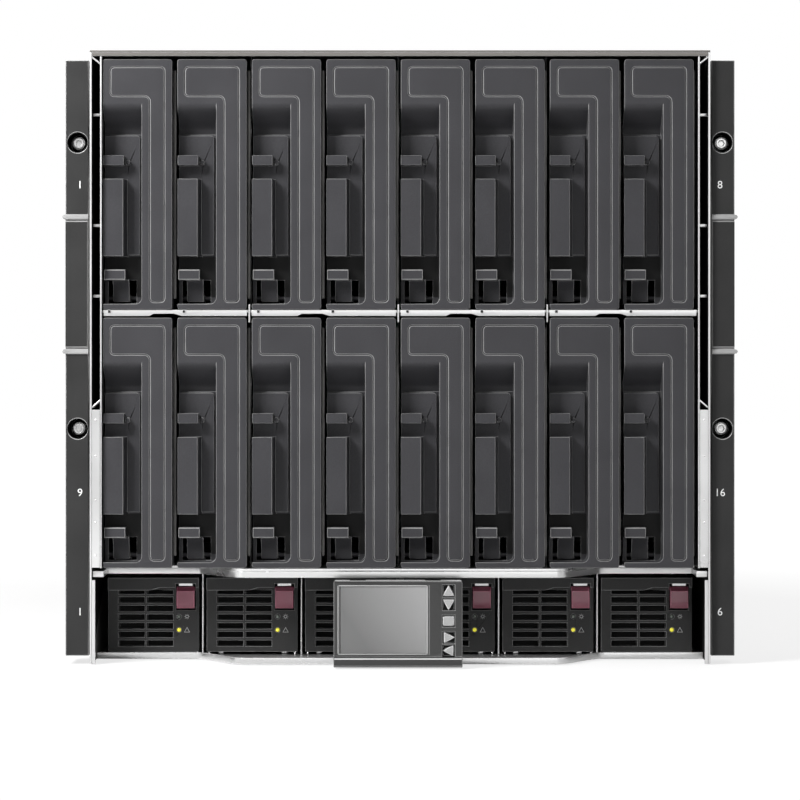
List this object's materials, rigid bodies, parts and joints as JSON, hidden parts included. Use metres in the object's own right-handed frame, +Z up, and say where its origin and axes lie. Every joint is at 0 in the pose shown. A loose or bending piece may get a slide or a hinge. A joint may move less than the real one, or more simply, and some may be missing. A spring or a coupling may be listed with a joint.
{
  "type": "blade server chassis",
  "caption": "Rack enclosure with two rows of bays filled by pull-out blank fronts with rocking latches, power supplies below and a sliding, tilting status display.",
  "frame": {"origin": "bottom face of the case, midway across, in the plane of the rack posts", "axes": "+X to the viewer's right when facing the front, +Y into the chassis from front to rear, +Z up"},
  "size_m": [0.4872, 0.847, 0.442],
  "materials": {
    "case_steel": "satin warm grey",
    "bright_steel": "bright zinc-plated sheet",
    "charcoal_plastic": "satin charcoal moulding",
    "screw_metal": "machined, bright",
    "board_green": "circuit board",
    "dark_plastic": "satin, near black",
    "gloss_black": "glossy black",
    "button_grey": "satin light grey",
    "supply_casing": "dark coated, satin",
    "maroon_plastic": "satin maroon"
  },
  "bodies": {
    "chassis": {"enclosure_case": "case_steel", "device_bay_cage": "bright_steel", "ear_covers": "charcoal_plastic", "rack_screws": "screw_metal", "power_tray": "bright_steel", "midplane_board": "board_green", "rear_cage": "bright_steel", "fan_modules": "dark_plastic", "rear_modules": "bright_steel"},
    "display_carriage": {"display_carriage": "dark_plastic"},
    "display_panel": {"display_panel": "gloss_black"},
    "button_up": {"button_up": "button_grey"},
    "button_down": {"button_down": "button_grey"},
    "button_ok": {"button_ok": "button_grey"},
    "button_right": {"button_right": "button_grey"},
    "button_left": {"button_left": "button_grey"},
    "power_supply_1": {"power_supply_1": "supply_casing"},
    "power_supply_2": {"power_supply_2": "supply_casing"},
    "power_supply_3": {"power_supply_3": "supply_casing"},
    "power_supply_4": {"power_supply_4": "supply_casing"},
    "power_supply_5": {"power_supply_5": "supply_casing"},
    "power_supply_6": {"power_supply_6": "supply_casing"},
    "supply_lever_1": {"supply_lever_1": "maroon_plastic"},
    "supply_lever_2": {"supply_lever_2": "maroon_plastic"},
    "supply_lever_3": {"supply_lever_3": "maroon_plastic"},
    "supply_lever_4": {"supply_lever_4": "maroon_plastic"},
    "supply_lever_5": {"supply_lever_5": "maroon_plastic"},
    "supply_lever_6": {"supply_lever_6": "maroon_plastic"},
    "blade_blank_01": {"blade_blank_01": "charcoal_plastic"},
    "blade_blank_02": {"blade_blank_02": "charcoal_plastic"},
    "blade_blank_03": {"blade_blank_03": "charcoal_plastic"},
    "blade_blank_04": {"blade_blank_04": "charcoal_plastic"},
    "blade_blank_05": {"blade_blank_05": "charcoal_plastic"},
    "blade_blank_06": {"blade_blank_06": "charcoal_plastic"},
    "blade_blank_07": {"blade_blank_07": "charcoal_plastic"},
    "blade_blank_08": {"blade_blank_08": "charcoal_plastic"},
    "blade_blank_09": {"blade_blank_09": "charcoal_plastic"},
    "blade_blank_10": {"blade_blank_10": "charcoal_plastic"},
    "blade_blank_11": {"blade_blank_11": "charcoal_plastic"},
    "blade_blank_12": {"blade_blank_12": "charcoal_plastic"},
    "blade_blank_13": {"blade_blank_13": "charcoal_plastic"},
    "blade_blank_14": {"blade_blank_14": "charcoal_plastic"},
    "blade_blank_15": {"blade_blank_15": "charcoal_plastic"},
    "blade_blank_16": {"blade_blank_16": "charcoal_plastic"},
    "blank_latch_01": {"blank_latch_01": "charcoal_plastic"},
    "blank_latch_02": {"blank_latch_02": "charcoal_plastic"},
    "blank_latch_03": {"blank_latch_03": "charcoal_plastic"},
    "blank_latch_04": {"blank_latch_04": "charcoal_plastic"},
    "blank_latch_05": {"blank_latch_05": "charcoal_plastic"},
    "blank_latch_06": {"blank_latch_06": "charcoal_plastic"},
    "blank_latch_07": {"blank_latch_07": "charcoal_plastic"},
    "blank_latch_08": {"blank_latch_08": "charcoal_plastic"},
    "blank_latch_09": {"blank_latch_09": "charcoal_plastic"},
    "blank_latch_10": {"blank_latch_10": "charcoal_plastic"},
    "blank_latch_11": {"blank_latch_11": "charcoal_plastic"},
    "blank_latch_12": {"blank_latch_12": "charcoal_plastic"},
    "blank_latch_13": {"blank_latch_13": "charcoal_plastic"},
    "blank_latch_14": {"blank_latch_14": "charcoal_plastic"},
    "blank_latch_15": {"blank_latch_15": "charcoal_plastic"},
    "blank_latch_16": {"blank_latch_16": "charcoal_plastic"}
  },
  "joints": [
    {"name": "display_slide", "type": "slide", "parent": "chassis", "child": "display_carriage", "axis": [1, 0, 0], "range_m": [-0.06, 0.06]},
    {"name": "display_tilt", "type": "hinge", "parent": "display_carriage", "child": "display_panel", "pos_m": [-0.0014, -0.064, 0.0586], "axis": [-1, 0, 0], "range_deg": [0, 60]},
    {"name": "button_up_press", "type": "slide", "parent": "display_panel", "child": "button_up", "axis": [0, 1, 0], "range_m": [0, 0.0012], "stiffness_N_per_m": 300, "springref_m": -0.0015},
    {"name": "button_down_press", "type": "slide", "parent": "display_panel", "child": "button_down", "axis": [0, 1, 0], "range_m": [0, 0.0012], "stiffness_N_per_m": 300, "springref_m": -0.0015},
    {"name": "button_ok_press", "type": "slide", "parent": "display_panel", "child": "button_ok", "axis": [0, 1, 0], "range_m": [0, 0.0012], "stiffness_N_per_m": 300, "springref_m": -0.0015},
    {"name": "button_right_press", "type": "slide", "parent": "display_panel", "child": "button_right", "axis": [0, 1, 0], "range_m": [0, 0.0012], "stiffness_N_per_m": 300, "springref_m": -0.0015},
    {"name": "button_left_press", "type": "slide", "parent": "display_panel", "child": "button_left", "axis": [0, 1, 0], "range_m": [0, 0.0012], "stiffness_N_per_m": 300, "springref_m": -0.0015},
    {"name": "supply_slide_1", "type": "slide", "parent": "chassis", "child": "power_supply_1", "axis": [0, -1, 0], "range_m": [0, 0.34]},
    {"name": "supply_slide_2", "type": "slide", "parent": "chassis", "child": "power_supply_2", "axis": [0, -1, 0], "range_m": [0, 0.34]},
    {"name": "supply_slide_3", "type": "slide", "parent": "chassis", "child": "power_supply_3", "axis": [0, -1, 0], "range_m": [0, 0.03]},
    {"name": "supply_slide_4", "type": "slide", "parent": "chassis", "child": "power_supply_4", "axis": [0, -1, 0], "range_m": [0, 0.03]},
    {"name": "supply_slide_5", "type": "slide", "parent": "chassis", "child": "power_supply_5", "axis": [0, 1, 0], "range_m": [-0.34, 0]},
    {"name": "supply_slide_6", "type": "slide", "parent": "chassis", "child": "power_supply_6", "axis": [0, 1, 0], "range_m": [-0.34, 0]},
    {"name": "supply_release_1", "type": "hinge", "parent": "power_supply_1", "child": "supply_lever_1", "pos_m": [-0.1568, 0.0024, 0.0512], "axis": [1, 0, 0], "range_deg": [0, 12], "stiffness_Nm_per_rad": 0.05, "springref_deg": -17.19},
    {"name": "supply_release_2", "type": "hinge", "parent": "power_supply_2", "child": "supply_lever_2", "pos_m": [-0.0846, 0.0024, 0.0512], "axis": [1, 0, 0], "range_deg": [0, 12], "stiffness_Nm_per_rad": 0.05, "springref_deg": -17.19},
    {"name": "supply_release_3", "type": "hinge", "parent": "power_supply_3", "child": "supply_lever_3", "pos_m": [-0.0124, 0.0024, 0.0512], "axis": [1, 0, 0], "range_deg": [0, 12], "stiffness_Nm_per_rad": 0.05, "springref_deg": -17.19},
    {"name": "supply_release_4", "type": "hinge", "parent": "power_supply_4", "child": "supply_lever_4", "pos_m": [0.0598, 0.0024, 0.0512], "axis": [1, 0, 0], "range_deg": [0, 12], "stiffness_Nm_per_rad": 0.05, "springref_deg": -17.19},
    {"name": "supply_release_5", "type": "hinge", "parent": "power_supply_5", "child": "supply_lever_5", "pos_m": [0.132, 0.0024, 0.0512], "axis": [1, 0, 0], "range_deg": [0, 12], "stiffness_Nm_per_rad": 0.05, "springref_deg": -17.19},
    {"name": "supply_release_6", "type": "hinge", "parent": "power_supply_6", "child": "supply_lever_6", "pos_m": [0.2042, 0.0024, 0.0512], "axis": [1, 0, 0], "range_deg": [0, 12], "stiffness_Nm_per_rad": 0.05, "springref_deg": -17.19},
    {"name": "blank_slide_01", "type": "slide", "parent": "chassis", "child": "blade_blank_01", "axis": [0, -1, 0], "range_m": [0, 0.16]},
    {"name": "blank_slide_02", "type": "slide", "parent": "chassis", "child": "blade_blank_02", "axis": [0, -1, 0], "range_m": [0, 0.16]},
    {"name": "blank_slide_03", "type": "slide", "parent": "chassis", "child": "blade_blank_03", "axis": [0, -1, 0], "range_m": [0, 0.16]},
    {"name": "blank_slide_04", "type": "slide", "parent": "chassis", "child": "blade_blank_04", "axis": [0, -1, 0], "range_m": [0, 0.16]},
    {"name": "blank_slide_05", "type": "slide", "parent": "chassis", "child": "blade_blank_05", "axis": [0, -1, 0], "range_m": [0, 0.16]},
    {"name": "blank_slide_06", "type": "slide", "parent": "chassis", "child": "blade_blank_06", "axis": [0, -1, 0], "range_m": [0, 0.16]},
    {"name": "blank_slide_07", "type": "slide", "parent": "chassis", "child": "blade_blank_07", "axis": [0, -1, 0], "range_m": [0, 0.16]},
    {"name": "blank_slide_08", "type": "slide", "parent": "chassis", "child": "blade_blank_08", "axis": [0, -1, 0], "range_m": [0, 0.16]},
    {"name": "blank_slide_09", "type": "slide", "parent": "chassis", "child": "blade_blank_09", "axis": [0, -1, 0], "range_m": [0, 0.16]},
    {"name": "blank_slide_10", "type": "slide", "parent": "chassis", "child": "blade_blank_10", "axis": [0, -1, 0], "range_m": [0, 0.16]},
    {"name": "blank_slide_11", "type": "slide", "parent": "chassis", "child": "blade_blank_11", "axis": [0, -1, 0], "range_m": [0, 0.16]},
    {"name": "blank_slide_12", "type": "slide", "parent": "chassis", "child": "blade_blank_12", "axis": [0, -1, 0], "range_m": [0, 0.16]},
    {"name": "blank_slide_13", "type": "slide", "parent": "chassis", "child": "blade_blank_13", "axis": [0, -1, 0], "range_m": [0, 0.16]},
    {"name": "blank_slide_14", "type": "slide", "parent": "chassis", "child": "blade_blank_14", "axis": [0, -1, 0], "range_m": [0, 0.16]},
    {"name": "blank_slide_15", "type": "slide", "parent": "chassis", "child": "blade_blank_15", "axis": [0, -1, 0], "range_m": [0, 0.16]},
    {"name": "blank_slide_16", "type": "slide", "parent": "chassis", "child": "blade_blank_16", "axis": [0, -1, 0], "range_m": [0, 0.16]},
    {"name": "latch_rock_01", "type": "hinge", "parent": "blade_blank_01", "child": "blank_latch_01", "pos_m": [-0.2013, -0.0174, 0.2635], "axis": [1, 0, 0], "range_deg": [0, 10], "stiffness_Nm_per_rad": 0.05, "springref_deg": -17.19},
    {"name": "latch_rock_02", "type": "hinge", "parent": "blade_blank_02", "child": "blank_latch_02", "pos_m": [-0.1476, -0.0174, 0.2635], "axis": [1, 0, 0], "range_deg": [0, 10], "stiffness_Nm_per_rad": 0.05, "springref_deg": -17.19},
    {"name": "latch_rock_03", "type": "hinge", "parent": "blade_blank_03", "child": "blank_latch_03", "pos_m": [-0.0939, -0.0174, 0.2635], "axis": [1, 0, 0], "range_deg": [0, 10], "stiffness_Nm_per_rad": 0.05, "springref_deg": -17.19},
    {"name": "latch_rock_04", "type": "hinge", "parent": "blade_blank_04", "child": "blank_latch_04", "pos_m": [-0.0402, -0.0174, 0.2635], "axis": [1, 0, 0], "range_deg": [0, 10], "stiffness_Nm_per_rad": 0.05, "springref_deg": -17.19},
    {"name": "latch_rock_05", "type": "hinge", "parent": "blade_blank_05", "child": "blank_latch_05", "pos_m": [0.0135, -0.0174, 0.2635], "axis": [1, 0, 0], "range_deg": [0, 10], "stiffness_Nm_per_rad": 0.05, "springref_deg": -17.19},
    {"name": "latch_rock_06", "type": "hinge", "parent": "blade_blank_06", "child": "blank_latch_06", "pos_m": [0.0672, -0.0174, 0.2635], "axis": [1, 0, 0], "range_deg": [0, 10], "stiffness_Nm_per_rad": 0.05, "springref_deg": -17.19},
    {"name": "latch_rock_07", "type": "hinge", "parent": "blade_blank_07", "child": "blank_latch_07", "pos_m": [0.1209, -0.0174, 0.2635], "axis": [1, 0, 0], "range_deg": [0, 10], "stiffness_Nm_per_rad": 0.05, "springref_deg": -17.19},
    {"name": "latch_rock_08", "type": "hinge", "parent": "blade_blank_08", "child": "blank_latch_08", "pos_m": [0.1746, -0.0174, 0.2635], "axis": [1, 0, 0], "range_deg": [0, 10], "stiffness_Nm_per_rad": 0.05, "springref_deg": -17.19},
    {"name": "latch_rock_09", "type": "hinge", "parent": "blade_blank_09", "child": "blank_latch_09", "pos_m": [-0.2013, -0.0174, 0.0772], "axis": [1, 0, 0], "range_deg": [0, 10], "stiffness_Nm_per_rad": 0.05, "springref_deg": -17.19},
    {"name": "latch_rock_10", "type": "hinge", "parent": "blade_blank_10", "child": "blank_latch_10", "pos_m": [-0.1476, -0.0174, 0.0772], "axis": [1, 0, 0], "range_deg": [0, 10], "stiffness_Nm_per_rad": 0.05, "springref_deg": -17.19},
    {"name": "latch_rock_11", "type": "hinge", "parent": "blade_blank_11", "child": "blank_latch_11", "pos_m": [-0.0939, -0.0174, 0.0772], "axis": [1, 0, 0], "range_deg": [0, 10], "stiffness_Nm_per_rad": 0.05, "springref_deg": -17.19},
    {"name": "latch_rock_12", "type": "hinge", "parent": "blade_blank_12", "child": "blank_latch_12", "pos_m": [-0.0402, -0.0174, 0.0772], "axis": [1, 0, 0], "range_deg": [0, 10], "stiffness_Nm_per_rad": 0.05, "springref_deg": -17.19},
    {"name": "latch_rock_13", "type": "hinge", "parent": "blade_blank_13", "child": "blank_latch_13", "pos_m": [0.0135, -0.0174, 0.0772], "axis": [1, 0, 0], "range_deg": [0, 10], "stiffness_Nm_per_rad": 0.05, "springref_deg": -17.19},
    {"name": "latch_rock_14", "type": "hinge", "parent": "blade_blank_14", "child": "blank_latch_14", "pos_m": [0.0672, -0.0174, 0.0772], "axis": [1, 0, 0], "range_deg": [0, 10], "stiffness_Nm_per_rad": 0.05, "springref_deg": -17.19},
    {"name": "latch_rock_15", "type": "hinge", "parent": "blade_blank_15", "child": "blank_latch_15", "pos_m": [0.1209, -0.0174, 0.0772], "axis": [1, 0, 0], "range_deg": [0, 10], "stiffness_Nm_per_rad": 0.05, "springref_deg": -17.19},
    {"name": "latch_rock_16", "type": "hinge", "parent": "blade_blank_16", "child": "blank_latch_16", "pos_m": [0.1746, -0.0174, 0.0772], "axis": [1, 0, 0], "range_deg": [0, 10], "stiffness_Nm_per_rad": 0.05, "springref_deg": -17.19}
  ]
}
